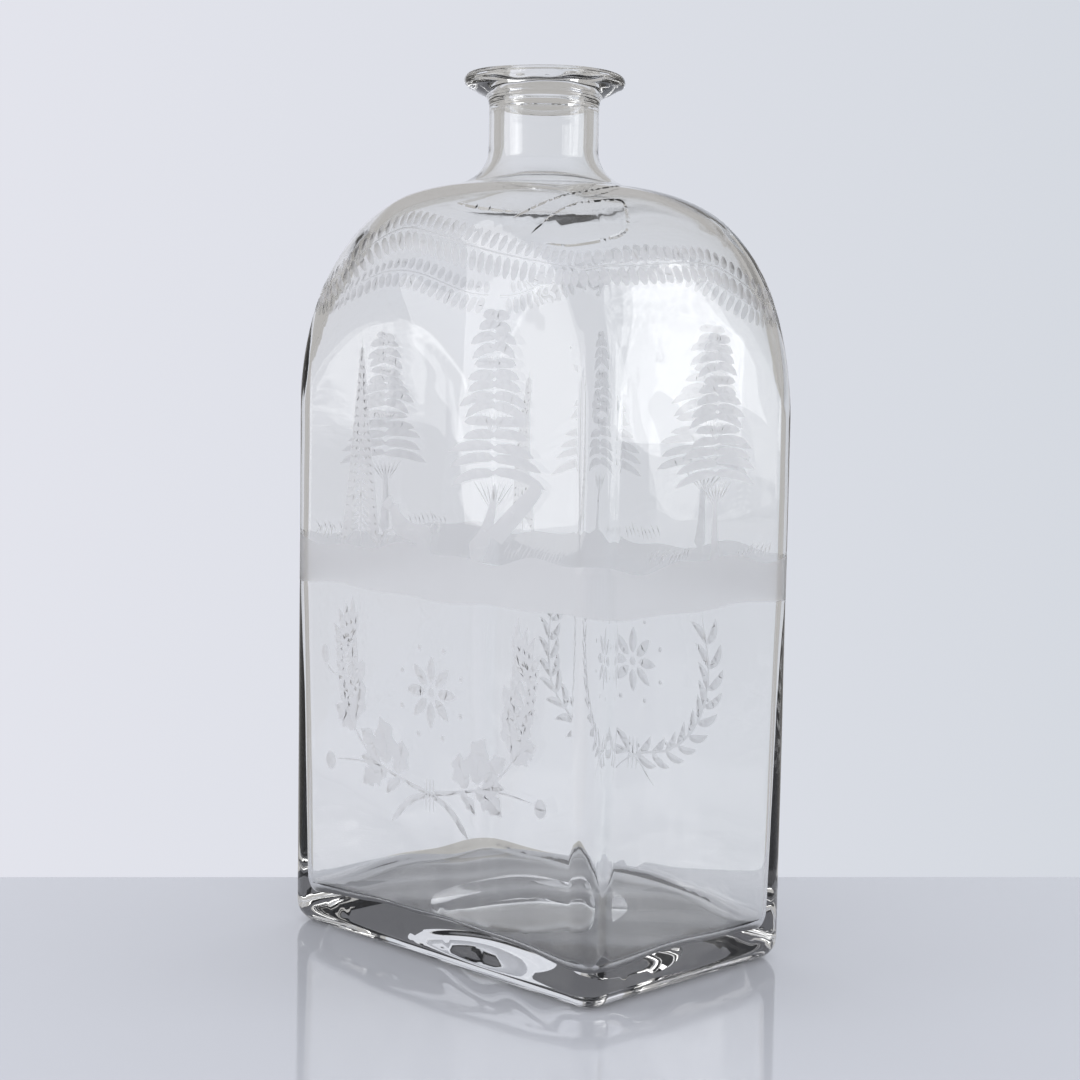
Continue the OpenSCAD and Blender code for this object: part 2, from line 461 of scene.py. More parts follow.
def layered_tree(x, z_top, size, seed):
    """The crown of a tree: three tiers of drooping fronds, longer downwards, with thin stems
    fanning up into each. Returns the height of the crown's foot."""
    rng = np.random.default_rng(seed)
    z = z_top
    for tier, (pairs, reach, drop) in enumerate(TIERS):
        for i in range(pairs):
            for side in (-1, 1):
                grow = 0.5 + 0.5 * min(1.0, (i + 1) / (pairs - 1))
                long = size * reach * grow * rng.uniform(0.88, 1.12)
                frond(x - side * 0.8, z - i * drop * size + rng.uniform(-0.4, 0.4), side, long,
                      2.2 * size, (2.2 + 0.9 * i) * size, 2.7 * size)
        z -= (pairs * drop + 1.0) * size
        for i in range(7):
            top = x + (i - 3) * (1.0 + 0.75 * tier) * size
            low = 1.6 + 1.8 * tier
            stroke(((x + (i - 3) * 0.3, z - low * size), (top, z + 2.0 * size)), 0.45, 5)
        z -= 0.6 * size
    return z - 4.6 * size


NEEDLE_PITCH = 2.1


def fir(x, z_low, z_top, half):
    """A tall fir of slanting needle strokes in pairs, longer towards its foot."""
    count = int((z_top - z_low - 6) / NEEDLE_PITCH)
    stroke(((x, z_low - 3), (x, (z_low + z_top) / 2), (x, z_top)), 1.3, 9, CUT)
    for i in range(count):
        f = (i + 0.6) / count
        z = z_top - 1.2 - (z_top - z_low - 6) * f
        for side in (-1, 1):
            stroke(((x, z), (x + side * half * f * 0.6, z - 2.2 - 1.2 * f),
                    (x + side * half * f, z - 5.0 - 2.4 * f)), 1.9, 7, CUT)


def grass(x0, x1, z, count, seed):
    """A tuft of short slanting grass strokes."""
    rng = np.random.default_rng(seed)
    for i in range(count):
        x = x0 + (x1 - x0) * (i + 0.5) / count
        lean = rng.uniform(1.2, 3.0)
        low = z + rng.uniform(-1.0, 0.4)
        stroke(((x, low), (x + lean * 0.5, low + 2.0), (x + lean, low + rng.uniform(2.8, 4.2))), 0.4, 5)


# Front panel: fir, layered tree with a broken stump, grass, and a leaping hound whose forelegs
# and tail are strokes of their own.
TRUNK_HALF = [0.4, 0.8, 1.0, 1.2, 1.5, 1.8, 1.8]
BENT_TRUNK_HALF = [0.4, 0.8, 1.0, 1.2, 1.5, 1.8, 2.2, 2.6, 3.0, 3.4, 3.4]
fx = FRONT_MID
fir(fx - 29, 112, 168, 9.0)
foot = layered_tree(fx + 23.5, 173.5, 1.0, 11)
blade(curve(((fx + 24.2, foot + 7), (fx + 23.6, foot + 1), (fx + 20.5, 117), (fx + 15.5, 111)), 11),
      BENT_TRUNK_HALF)
add_cut([(fx + 21, 118), (fx + 39, 132.5), (fx + 41.5, 129.5), (fx + 38, 125.5), (fx + 27, 115.5)],
        [(fx + 31, 123.5)])
grass(fx + 27, fx + 49, 112.6, 17, 5)
grass(fx - 50, fx - 34, 112.2, 9, 6)
add_cut([(fx - 18.0, 124.8), (fx - 20.2, 122.9), (fx - 19.4, 121.9), (fx - 16.6, 121.4),
         (fx - 16.0, 118.6), (fx - 15.4, 116.2), (fx - 12.4, 114.6), (fx - 8.4, 114.0),
         (fx - 4.6, 112.2), (fx - 2.2, 110.2), (fx + 0.4, 110.0), (fx - 0.6, 113.2),
         (fx + 0.6, 116.4), (fx - 1.4, 118.6), (fx - 5.6, 118.4), (fx - 9.4, 119.2),
         (fx - 12.4, 121.2), (fx - 13.2, 123.4), (fx - 15.4, 123.6), (fx - 16.6, 125.8)],
        [(fx - 16.6, 122.8), (fx - 13.0, 118.2), (fx - 8.4, 116.4), (fx - 3.6, 115.4)])
stroke(((fx - 14.8, 116.4), (fx - 18.6, 115.4), (fx - 20.8, 112.0)), 1.1, 7, CUT)
stroke(((fx - 13.6, 115.4), (fx - 16.8, 114.2), (fx - 18.4, 111.0)), 1.0, 7, CUT)
stroke(((fx - 0.6, 117.8), (fx + 1.6, 119.6), (fx + 3.4, 118.4), (fx + 2.0, 116.6)), 0.9, 9)

# Short panels: one layered tree each, with grass.
for middle, seed in ((RIGHT_MID, 21), (LEFT_MID, 22)):
    foot = layered_tree(middle + 4, 168.5, 0.86, seed)
    blade(curve(((middle + 4, foot + 6), (middle + 4, 118), (middle + 4.5, 110)), 7), TRUNK_HALF)
    grass(middle - 22, middle - 6, 112.4, 9, seed + 3)
    grass(middle + 12, middle + 27, 112.0, 8, seed + 4)

# Back panel: two layered trees and a fir.
bx = BACK_MID
for shift, top, size, seed in ((-27, 172, 0.92, 31), (14, 170, 0.95, 32)):
    foot = layered_tree(bx + shift, top, size, seed)
    blade(curve(((bx + shift, foot + 6), (bx + shift + 0.6, 118), (bx + shift + 1, 110)), 7),
          TRUNK_HALF)
fir(bx + 42, 112, 160, 5.5)
grass(bx - 12, bx + 4, 112.4, 9, 8)


BRANCH_HALF = [0.2, 0.9, 1.0, 0.95, 0.9, 0.8, 0.75, 0.7, 0.65, 0.6, 0.55, 0.5, 0.45, 0.4, 0.3]


def oak_branch(x, side):
    """One side of the oak wreath, from its cut end below the tie up to its tip: a stem, lobed
    leaves low on it and slender ones above, and acorns on stalks, one more on the left."""
    def at(px, pz):
        return x + side * px, pz

    def put(px, pz, angle, length, width, lobes=0, bend=0.1):
        leaf(*at(px, pz), angle if side > 0 else 180 - angle, length, width, lobes, bend * side)

    blade(curve([at(-15.5, 36.8), at(-8, 43.6), at(0, 46.5), at(10, 48.6), at(19.5, 51)], 15),
          BRANCH_HALF, LEAF_CUT)
    stroke([at(19, 50.8), at(27, 55.5), at(33, 62)], 0.8, 7)
    stroke([at(32.6, 61.5), at(36.2, 70), at(37.2, 82)], 0.7, 9)
    stroke([at(20, 51), at(30, 51.4), at(39.6, 50.4)], 0.5, 7)
    stroke([at(31, 59), at(30.8, 67), at(29.4, 73.4)], 0.5, 7)
    disc(*at(41.8, 49.6), 4.4, 5.0, 12)
    disc(*at(28.8, 76.6), 3.2, 5.8, 12, 8 * side)
    put(14.5, 50.6, 108, 9.5, 7.0, 3)
    put(18.5, 52.0, 78, 13.0, 8.4, 3)
    put(21.0, 52.4, 44, 11.5, 5.6, 3)
    put(20.0, 50.6, 12, 9.0, 4.2, 2)
    put(17.5, 50.0, -26, 11.5, 6.4, 3)
    put(12.0, 48.6, -40, 7.5, 3.2, 2)
    put(31.6, 59.6, 34, 10.4, 6.6, 3)
    put(32.2, 62.0, 100, 14.0, 5.4, 3)
    put(33.8, 64.0, 66, 12.5, 6.0, 3)
    for k in range(5):
        put(34.6 + 0.5 * k, 67.5 + 3.4 * k, 122, 9.5, 2.8)
        put(35.4 + 0.4 * k, 67.0 + 3.4 * k, 62, 9.0, 2.8)
    for angle, length, width in ((118, 12.5, 3.0), (104, 16.0, 3.2), (92, 13.5, 3.0),
                                 (78, 11.5, 2.8)):
        put(36.8, 82.0, angle, length, width)
    if side < 0:
        stroke([at(38.6, 74), at(42, 75), at(44, 77)], 0.5, 7)
        disc(*at(44.6, 79.5), 3.2, 5.4, 12, -8 * side)


def laurel_branch(x, side):
    """One side of the laurel wreath: narrow leaves in pairs up a curved stem, with berries."""
    path = curve([(x - side * 9, 38), (x, 45.5), (x + side * 15, 50), (x + side * 27, 60),
                  (x + side * 31, 74), (x + side * 28, 92)], 41)
    stroke(path[::8], 0.8, 25)
    for i in range(9, 39, 3):
        (px, pz), (qx, qz) = path[i], path[min(i + 1, 40)]
        along = math.degrees(math.atan2(qz - pz, qx - px))
        leaf(px, pz, along + 32, 8.4, 2.4)
        leaf(px, pz, along - 32, 8.4, 2.4)
        if i % 2:
            disc(px + 1.6 * math.cos(math.radians(along + 90)), pz + 2.4, 1.3, 1.3, 8)


OAK_MID = FRONT_MID + 0.8
for side in (-1, 1):
    oak_branch(OAK_MID, side)
    laurel_branch(BACK_MID, side)

# Each wreath is tied with three short strokes, and a plain rosette of eight petals with a ring of
# eight dots fills its middle.
ROSETTE_Z = 74
PETALS = 8
DOT_RING = 12.6
for middle in (OAK_MID, BACK_MID):
    for k in (-1, 0, 1):
        stroke(((middle + k * 1.5, 41.6), (middle + k * 1.5, 46.4), (middle + k * 1.3, 51.0)),
               0.8, 5, CUT)
    for k in range(PETALS):
        a = 2 * math.pi * k / PETALS
        b = a + math.pi / PETALS
        leaf(middle + 2.4 * math.cos(a), ROSETTE_Z + 2.4 * math.sin(a), math.degrees(a), 7.4, 3.2,
             bend=0)
        disc(middle + DOT_RING * math.cos(b), ROSETTE_Z + DOT_RING * math.sin(b), 1.5, 1.5, 8)
    disc(middle, ROSETTE_Z, 2.6, 2.6, 10)


def skin_with_cuts(stations, levels):
    """Triangles of the outer skin in (s, t): a constrained Delaunay net over the grid of
    stations and levels and every cut's outline and groove. Returns the points, their depth,
    the triangles, and each triangle's material."""
    gs, gt = np.meshgrid(np.append(stations, AROUND), levels)
    points = [np.stack([gs.ravel(), gt.ravel()], axis=1)]
    depths = [np.zeros(gs.size)]
    count = gs.size
    loops = []
    for outline, ridge, depth in motifs:
        loops.append(list(range(count, count + len(outline))))
        points.append(outline)
        depths.append(np.zeros(len(outline)))
        count += len(outline)
        if len(ridge):
            points.append(ridge)
            depths.append(np.full(len(ridge), depth))
            count += len(ridge)
    flat = np.vstack(points)
    depth_in = np.concatenate(depths)
    made = delaunay_2d_cdt([Vector(p) for p in flat.tolist()], [], loops, 0, 1e-4)
    net_points, _, net_tris, from_points, _, from_loops = made
    verts = np.array([tuple(v) for v in net_points])
    tris = np.array(net_tris, dtype=np.int64)
    slot = np.array([FOLDED if o and set(o) <= set(folds) else GROUND if o else POLISHED
                     for o in from_loops])
    depth_out = np.array([max((depth_in[i] for i in o), key=abs, default=0.0)
                          for o in from_points])
    return verts, depth_out, tris, slot


stations = steps_round()
levels = np.concatenate([
    np.linspace(HEEL_R, FAN_Z, 40)[:-1],
    np.linspace(FAN_Z, SWEEP_T, 44)[:-1],
    np.linspace(SWEEP_T, NECK_T, 10)[:-1],
    np.linspace(NECK_T, T_TOP, 5),
])
net, cut_depth, skin_tris, skin_slots = skin_with_cuts(stations, levels)
net_s = np.where(net[:, 0] > AROUND - 1e-4, 0.0, net[:, 0])
net_t = net[:, 1]
skin_normals = form_normals(outside, net_s, net_t)
skin_points = outside(net_s, net_t) - skin_normals * cut_depth[:, None]

# The blown vessel, inside and underneath.
# The glass is thin at the neck and thickens down the panels to a heavy base. The floor stands
# higher in its middle, and the underside is pushed up a little inside a flat border.
WALL = 2.8
FOOT_WALL = 5.5
TAPER_Z = 100.0
FLOOR_T = 8.0
FLOOR_RISE = 5.0
FLOOR_ROUND = 4.0
FLOOR_TOP = FLOOR_T + FLOOR_RISE * 0.4 + FLOOR_ROUND
PUSH_R = 26.0
PUSH_H = 2.4


def wall_at(s, t):
    """Thickness of the glass at height t: even above the taper, growing below it, and uneven by
    a few tenths of a millimetre as blown glass is."""
    foot = (FOOT_WALL - WALL) * np.clip((TAPER_Z - t) / (TAPER_Z - FLOOR_T), 0, 1)
    uneven = 0.3 * ripple(s, t, 0.8, 12) + 0.08 * ripple(s, t, 3.0, 14)
    return WALL + foot + uneven * np.clip((T_TOP - 16 - t) / 50, 0, 1)


def inner_radius(t):
    """Radius of the inside corners: the mould's less the wall, and tighter towards the foot."""
    foot = np.clip((TAPER_Z - t) / (TAPER_Z - FLOOR_T), 0, 1)
    return CORNER_R - WALL - foot * 0.6


def inside_wall(s, t):
    """The inner skin from the floor's rounding up to the neck's end."""
    return upright(s, t, wall_at(s, t), inner_radius(t), BORE_R, SWEEP_R + NECK_R - BORE_R, SEAT_Z)


def floor_z(x, y):
    """Height of the floor: a shallow cap over the middle, with a slow ripple."""
    reach = (BODY_W / 2 - FOOT_WALL) ** 2 + (BODY_D / 2 - FOOT_WALL) ** 2
    cap = FLOOR_T + FLOOR_RISE * (1 - (x ** 2 + y ** 2) / reach)
    return cap + 0.35 * np.sin(x / 9 + 1) * np.cos(y / 7) + 0.2 * np.sin(x / 4.3 - y / 5.1)


def inside_floor(s, u):
    """The floor: for u from 0 to 1 the quarter round from the wall, then in to the middle."""
    s, u = np.broadcast_arrays(np.asarray(s, dtype=float), np.asarray(u, dtype=float))
    bend = np.clip(u, 0, 1) * math.pi / 2
    draw_in = FLOOR_ROUND * (1 - np.cos(bend))
    wall = wall_at(s, FLOOR_TOP)
    corner = inner_radius(FLOOR_TOP)
    x, y = plan(s, wall + draw_in, np.maximum(corner - draw_in * 0.6, 1.2))
    edge = plan(s, wall, corner)
    away = np.hypot(*edge)
    gap = shoulder_gap(*edge, np.full_like(s, FAN_Z), wall)
    x, y = x - gap * edge[0] / away, y - gap * edge[1] / away
    shrink = np.clip(2 - u, 0, 1)
    x, y = x * shrink, y * shrink
    low = floor_z(x, y)
    high = np.full_like(low, FLOOR_TOP)
    return np.stack([x, y, low + (high - low) * (1 - np.sin(bend))], axis=-1)


def underside(s, u):
    """The heel and the base: for u from 0 to 1 the heel's quarter round, from 1 to 2 the flat
    border, from 2 to 3 the pushed-up cap."""
    s, u = np.broadcast_arrays(np.asarray(s, dtype=float), np.asarray(u, dtype=float))
    bend = np.clip(u, 0, 1) * math.pi / 2
    wave = skin_inset(s, np.full_like(s, HEEL_R))
    edge = plan(s, wave, CORNER_R)
    away = np.hypot(*edge)
    foot_gap = shoulder_gap(*edge, np.full_like(s, FAN_Z), wave)
    draw_in = HEEL_R * (1 - np.cos(bend))
    x, y = plan(s, draw_in + wave, np.maximum(CORNER_R - draw_in, 1.5))
    x, y = x - foot_gap * edge[0] / away, y - foot_gap * edge[1] / away
    round_x, round_y = PUSH_R * edge[0] / away, PUSH_R * edge[1] / away
    f = np.clip(u - 1, 0, 1)
    x, y = x + (round_x - x) * f, y + (round_y - y) * f
    shrink = np.clip(3 - u, 0, 1)
    x, y = x * shrink, y * shrink
    cap = PUSH_H * (1 - shrink ** 2) ** 2
    z = HEEL_R * (1 - np.sin(bend)) + cap
    return np.stack([x, y, z], axis=-1)


def grid_patch(surface, rows, outward):
    """A closed band of quads over the stations and the given rows, its normals by differences.
    outward is 1 where the surface's own normal leaves the glass and -1 where it enters it."""
    s, t = np.meshgrid(stations, rows)
    grid = surface(s, t)
    points = grid.reshape(-1, 3)
    du = np.roll(grid, -1, axis=1) - np.roll(grid, 1, axis=1)
    dv = np.gradient(grid, axis=0)
    n = np.cross(du, dv).reshape(-1, 3) * outward
    n /= np.maximum(np.linalg.norm(n, axis=1, keepdims=True), 1e-9)
    across = len(stations)
    i, j = np.meshgrid(np.arange(len(rows) - 1), np.arange(across), indexing="ij")
    a = i * across + j
    b = i * across + (j + 1) % across
    quads = np.stack([a, b, b + across, a + across], axis=-1).reshape(-1, 4)
    if outward < 0:
        quads = quads[:, ::-1]
    return points, n, quads


inner_rows = np.concatenate([np.linspace(FLOOR_TOP, FAN_Z, 44)[:-1], levels[levels >= FAN_Z]])
floor_rows = np.concatenate([np.linspace(0, 1, 9)[:-1], np.linspace(1, 2, 26)])
base_rows = np.concatenate([np.linspace(0, 1, 10)[:-1], np.linspace(1, 2, 10)[:-1],
                            np.linspace(2, 3, 14)])

patches = [(skin_points, skin_normals, skin_tris, skin_slots)]
for surface, rows, outward in ((inside_wall, inner_rows, -1), (inside_floor, floor_rows, 1),
                               (underside, base_rows, -1)):
    points, normals, quads = grid_patch(surface, rows, outward)
    patches.append((points, normals, quads, np.full(len(quads), POLISHED)))

# The cut end of the neck, where the ring is laid on.
seat_in = inside_wall(stations, np.full_like(stations, T_TOP))
seat_out = outside(stations, np.full_like(stations, T_TOP))
count = len(stations)
j = np.arange(count)
seat_quads = np.stack([j, (j + 1) % count, (j + 1) % count + count, j + count], axis=1)
patches.append((np.vstack([seat_out, seat_in]), np.tile([0.0, 0.0, 1.0], (2 * count, 1)),
                seat_quads, np.full(count, FUSED)))


WELD_GAP = 0.004
NO_LENGTH = 0.001
LEAST_AGREEMENT = 0.2


def weld(name, parts, materials):
    """One closed mesh object out of patches of points, normals and faces: their shared rims are
    welded, and each polished corner keeps the form's own normal, unless it is far from the
    face's, while every other face keeps its flat normal."""
    verts, normals, faces, slots = [], [], [], []
    start = 0
    for points, normal, face, slot in parts:
        verts.append(points * MM)
        normals.append(normal)
        faces += (face + start).tolist()
        slots.append(slot)
        start += len(points)
    mesh = bpy.data.meshes.new(name)
    mesh.from_pydata(np.vstack(verts).tolist(), [], faces)
    for m in materials:
        mesh.materials.append(m)
    mesh.polygons.foreach_set("material_index", np.concatenate(slots).astype(np.int32))
    mesh.attributes.new("form_normal", "FLOAT_VECTOR", "POINT").data.foreach_set(
        "vector", np.vstack(normals).astype(np.float32).ravel())
    bm = bmesh.new()
    bm.from_mesh(mesh)
    bmesh.ops.remove_doubles(bm, verts=bm.verts, dist=WELD_GAP * MM)
    bmesh.ops.dissolve_degenerate(bm, edges=bm.edges, dist=NO_LENGTH * MM)
    bm.to_mesh(mesh)
    bm.free()
    loops = len(mesh.loops)
    vert_of = np.zeros(loops, dtype=np.int32)
    mesh.loops.foreach_get("vertex_index", vert_of)
    form = np.zeros(len(mesh.vertices) * 3, dtype=np.float32)
    mesh.attributes["form_normal"].data.foreach_get("vector", form)
    sizes = np.zeros(len(mesh.polygons), dtype=np.int32)
    mesh.polygons.foreach_get("loop_total", sizes)
    index = np.zeros(len(mesh.polygons), dtype=np.int32)
    mesh.polygons.foreach_get("material_index", index)
    flat = np.zeros(len(mesh.polygons) * 3, dtype=np.float32)
    mesh.polygons.foreach_get("normal", flat)
    corner = form.reshape(-1, 3)[vert_of]
    face_n = np.repeat(flat.reshape(-1, 3), sizes, axis=0)
    face_slot = np.repeat(index, sizes)
    corner = np.where((face_slot == POLISHED)[:, None], corner, face_n)
    wrong = np.sum(corner * face_n, axis=1) < LEAST_AGREEMENT
    corner[wrong] = face_n[wrong]
    mesh.attributes.remove(mesh.attributes["form_normal"])
    mesh.polygons.foreach_set("use_smooth", np.ones(len(mesh.polygons), dtype=bool))
    mesh.normals_split_custom_set(corner.tolist())
    obj = bpy.data.objects.new(name, mesh)
    bpy.context.scene.collection.objects.link(obj)
    return obj


# The glass itself.
# Clear potash glass with a faint grey cast, fire-polished; where the wheel cut it, it is matt.
# Seeds and grains of ash from the furnace lie in it as small dark specks.
def seed_group():
    """Dark specks: 1 near the centres of a few scattered cells, the share Density of them, and
    0 elsewhere."""
    group = bpy.data.node_groups.new("furnace_specks", "ShaderNodeTree")
    group.interface.new_socket("Position", in_out="INPUT", socket_type="NodeSocketVector")
    group.interface.new_socket("Density", in_out="INPUT", socket_type="NodeSocketFloat")
    group.interface.new_socket("Speck", in_out="OUTPUT", socket_type="NodeSocketFloat")
    n, link = group.nodes, group.links
    enter, leave = n.new("NodeGroupInput"), n.new("NodeGroupOutput")
    cells = n.new("ShaderNodeTexVoronoi")
    cells.inputs["Scale"].default_value = 55.0
    near = n.new("ShaderNodeMapRange")
    near.inputs["From Min"].default_value = 0.075
    near.inputs["From Max"].default_value = 0.035
    pick = n.new("ShaderNodeSeparateColor")
    rare = n.new("ShaderNodeMath")
    rare.operation = "LESS_THAN"
    both = n.new("ShaderNodeMath")
    both.operation = "MULTIPLY"
    link.new(enter.outputs["Position"], cells.inputs["Vector"])
    link.new(cells.outputs["Distance"], near.inputs["Value"])
    link.new(cells.outputs["Color"], pick.inputs["Color"])
    link.new(pick.outputs["Red"], rare.inputs[0])
    link.new(enter.outputs["Density"], rare.inputs[1])
    link.new(near.outputs["Result"], both.inputs[0])
    link.new(rare.outputs["Value"], both.inputs[1])
    link.new(both.outputs["Value"], leave.inputs["Speck"])
    return group


specks = seed_group()


def glass(name, colour, clear, roughness, ripple_height, density):
    """Glass that lets through the share clear, its colour dulled by specks and its gloss by
    fine waves."""
    mat = bpy.data.materials.new(name)
    mat.use_nodes = True
    n, link = mat.node_tree.nodes, mat.node_tree.links
    bsdf = n["Principled BSDF"]
    bsdf.inputs["Transmission Weight"].default_value = clear
    bsdf.inputs["IOR"].default_value = 1.5
    coord = n.new("ShaderNodeTexCoord")
    speck = n.new("ShaderNodeGroup")
    speck.node_tree = specks
    speck.inputs["Density"].default_value = density
    tint = n.new("ShaderNodeMix")
    tint.data_type = "RGBA"
    tint.inputs["A"].default_value = (*colour, 1)
    tint.inputs["B"].default_value = (0.10, 0.09, 0.08, 1)
    waves = n.new("ShaderNodeTexNoise")
    waves.inputs["Scale"].default_value = 60.0
    waves.inputs["Detail"].default_value = 2.0
    rough = n.new("ShaderNodeMapRange")
    rough.inputs["To Min"].default_value = roughness * 0.8
    rough.inputs["To Max"].default_value = roughness * 1.25
    bump = n.new("ShaderNodeBump")
    bump.inputs["Strength"].default_value = 1.0
    bump.inputs["Distance"].default_value = ripple_height * MM
    link.new(coord.outputs["Object"], speck.inputs["Position"])
    link.new(coord.outputs["Object"], waves.inputs["Vector"])
    link.new(speck.outputs["Speck"], tint.inputs["Factor"])
    link.new(tint.outputs["Result"], bsdf.inputs["Base Color"])
    link.new(waves.outputs["Fac"], rough.inputs["Value"])
    link.new(rough.outputs["Result"], bsdf.inputs["Roughness"])
    link.new(waves.outputs["Fac"], bump.inputs["Height"])
    link.new(bump.outputs["Normal"], bsdf.inputs["Normal"])
    return mat


polished = glass("polished_glass", (0.972, 0.975, 0.972), 1.0, 0.012, 0.012, 0.05)
ground = glass("wheel_ground_glass", (0.92, 0.92, 0.93), 0.92, 0.38, 0.05, 0.03)


def fused_glass():
    """The seat where neck and ring are melted together: nothing to see but trapped ash."""
    mat = bpy.data.materials.new("fused_seat")
    mat.use_nodes = True
    n, link = mat.node_tree.nodes, mat.node_tree.links
    bsdf = n["Principled BSDF"]
    bsdf.inputs["Base Color"].default_value = (0.16, 0.14, 0.12, 1)
    bsdf.inputs["Roughness"].default_value = 0.6
    coord = n.new("ShaderNodeTexCoord")
    ash = n.new("ShaderNodeTexNoise")
    ash.inputs["Scale"].default_value = 420.0
    ash.inputs["Detail"].default_value = 3.0
    shown = n.new("ShaderNodeMapRange")
    shown.inputs["From Min"].default_value = 0.60
    shown.inputs["From Max"].default_value = 0.66
    link.new(coord.outputs["Object"], ash.inputs["Vector"])
    link.new(ash.outputs["Fac"], shown.inputs["Value"])
    link.new(shown.outputs["Result"], bsdf.inputs["Alpha"])
    return mat


fused = fused_glass()
vessel = weld("blown_vessel", patches, (polished, ground, fused, polished))
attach(vessel, "root")
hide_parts("bottle_body")

# The lip ring.
# A second gather of glass, laid hot on the cracked-off end of the neck and tooled out with the
# jacks into a flat flange with a rounded, slightly uneven edge.
RIM_T = 4.0
COLLAR_H = 3.2
COLLAR_SWELL = 0.8
MOUTH_ROUND = 1.6
RING_STEPS = 160


def arc(u, v, r, a0, a1, count):
    """Points of an arc about (u, v)."""
    a = np.radians(np.linspace(a0, a1, count))
    return np.stack([u + r * np.cos(a), v + r * np.sin(a)], axis=1)


def ring_outline():
    """Section of the ring, anticlockwise from the bore's foot: seat, collar with its hollow
    sweep, underside, rounded rim, top, and the fire-polished edge of the mouth."""
    rim = RIM_T / 2
    under = SEAT_Z + COLLAR_H
    return np.vstack([
        [[BORE_R, SEAT_Z], [NECK_R, SEAT_Z]],
        curve([(NECK_R, SEAT_Z), (NECK_R + 0.15, SEAT_Z + 1.6), (NECK_R + COLLAR_SWELL, under),
               (NECK_R + COLLAR_SWELL + 2.2, under + 1.0), (LIP_R - rim, LIP_Z - RIM_T)], 14)[1:-1],
        arc(LIP_R - rim, LIP_Z - rim, rim, 275, 448, 16),
        [[LIP_R - 5, LIP_Z - 0.15], [BORE_R + 4.2, LIP_Z - 0.1]],
        arc(BORE_R + MOUTH_ROUND, LIP_Z - MOUTH_ROUND, MOUTH_ROUND, 90, 180, 9),
        [[BORE_R, SEAT_Z + 5], [BORE_R, SEAT_Z + 2.4]],
    ])


section = ring_outline()
# The jacks' marks: the rim's reach, its sag and its top vary by a few tenths round the ring.
turn = 2 * math.pi * np.arange(RING_STEPS) / RING_STEPS
around, place = np.meshgrid(turn, np.arange(len(section)))
r, z = section[place, 0], section[place, 1]
outer = np.clip((r - NECK_R - 1) / (LIP_R - NECK_R - 1), 0, 1)
tooled = (0.16 * np.sin(3 * around + 0.4) + 0.10 * np.sin(5 * around + 2)
          + 0.06 * np.sin(11 * around))
sag = (0.24 * np.sin(2 * around + 1.1) + 0.16 * np.sin(7 * around)
       + 0.1 * np.sin(13 * around + 1))
below = np.clip((LIP_Z - z) / RIM_T, 0, 1)
r = r + outer * (tooled - 0.3)
z = z + outer * below * sag - outer * (1 - below) * 0.08 * (1 + np.sin(4 * around))
ring_points = np.stack([r * np.cos(around), r * np.sin(around), z], axis=-1)
du = np.roll(ring_points, -1, axis=1) - np.roll(ring_points, 1, axis=1)
dv = np.roll(ring_points, -1, axis=0) - np.roll(ring_points, 1, axis=0)
ring_normals = np.cross(du, dv).reshape(-1, 3)
ring_normals /= np.maximum(np.linalg.norm(ring_normals, axis=1, keepdims=True), 1e-9)
i, j = np.meshgrid(np.arange(len(section)), np.arange(RING_STEPS), indexing="ij")
i2, j2 = (i + 1) % len(section), (j + 1) % RING_STEPS
row, next_row = i * RING_STEPS, i2 * RING_STEPS
ring_quads = np.stack([row + j, row + j2, next_row + j2, next_row + j], axis=-1).reshape(-1, 4)
ring_slots = np.where(i == 0, FUSED, POLISHED).reshape(-1)
ring_patch = (ring_points.reshape(-1, 3), ring_normals, ring_quads, ring_slots)
lip = weld("lip_flange", [ring_patch], (polished, ground, fused))
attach(lip, "root")
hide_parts("lip_ring")

# The studio.
# A glossy pale table that ends just behind the bottle, a pale backdrop, a softbox on either
# side and a camera on the near corner, at the photograph's height and distance. In metres.
CAMERA_AT = (0.4006, -0.3973, 0.1622)
CAMERA_AIM = (-0.70625, 0.70256, -0.08733)
CAMERA_ROLL = math.radians(0.97)
FOCAL_PX = 2037.3
FRAME_PX = 1080
SENSOR = 36.0

camera_data = bpy.data.cameras.new("camera")
camera_data.sensor_width = SENSOR
camera_data.lens = FOCAL_PX / FRAME_PX * SENSOR
camera = bpy.data.objects.new("camera", camera_data)
bpy.context.scene.collection.objects.link(camera)
aim = Vector(CAMERA_AIM).to_track_quat("-Z", "Y").to_matrix().to_4x4()
camera.matrix_world = Matrix.Translation(CAMERA_AT) @ aim @ Matrix.Rotation(CAMERA_ROLL, 4, "Z")
bpy.context.scene.camera = camera

VIEW = Vector((CAMERA_AIM[0], CAMERA_AIM[1], 0)).normalized()
RIGHTWARD = Vector((VIEW.y, -VIEW.x, 0))


def quad(name, corners, material):
    """A flat four-cornered sheet of the stage."""
    mesh = bpy.data.meshes.new(name)
    mesh.from_pydata([tuple(c) for c in corners], [], [(0, 1, 2, 3)])
    mesh.materials.append(material)
    obj = bpy.data.objects.new(name, mesh)
    bpy.context.scene.collection.objects.link(obj)


def place_at(right, depth, height):
    """A point of the stage by its distance right of, behind and above the bottle's base."""
    return RIGHTWARD * right + VIEW * depth + Vector((0, 0, height))


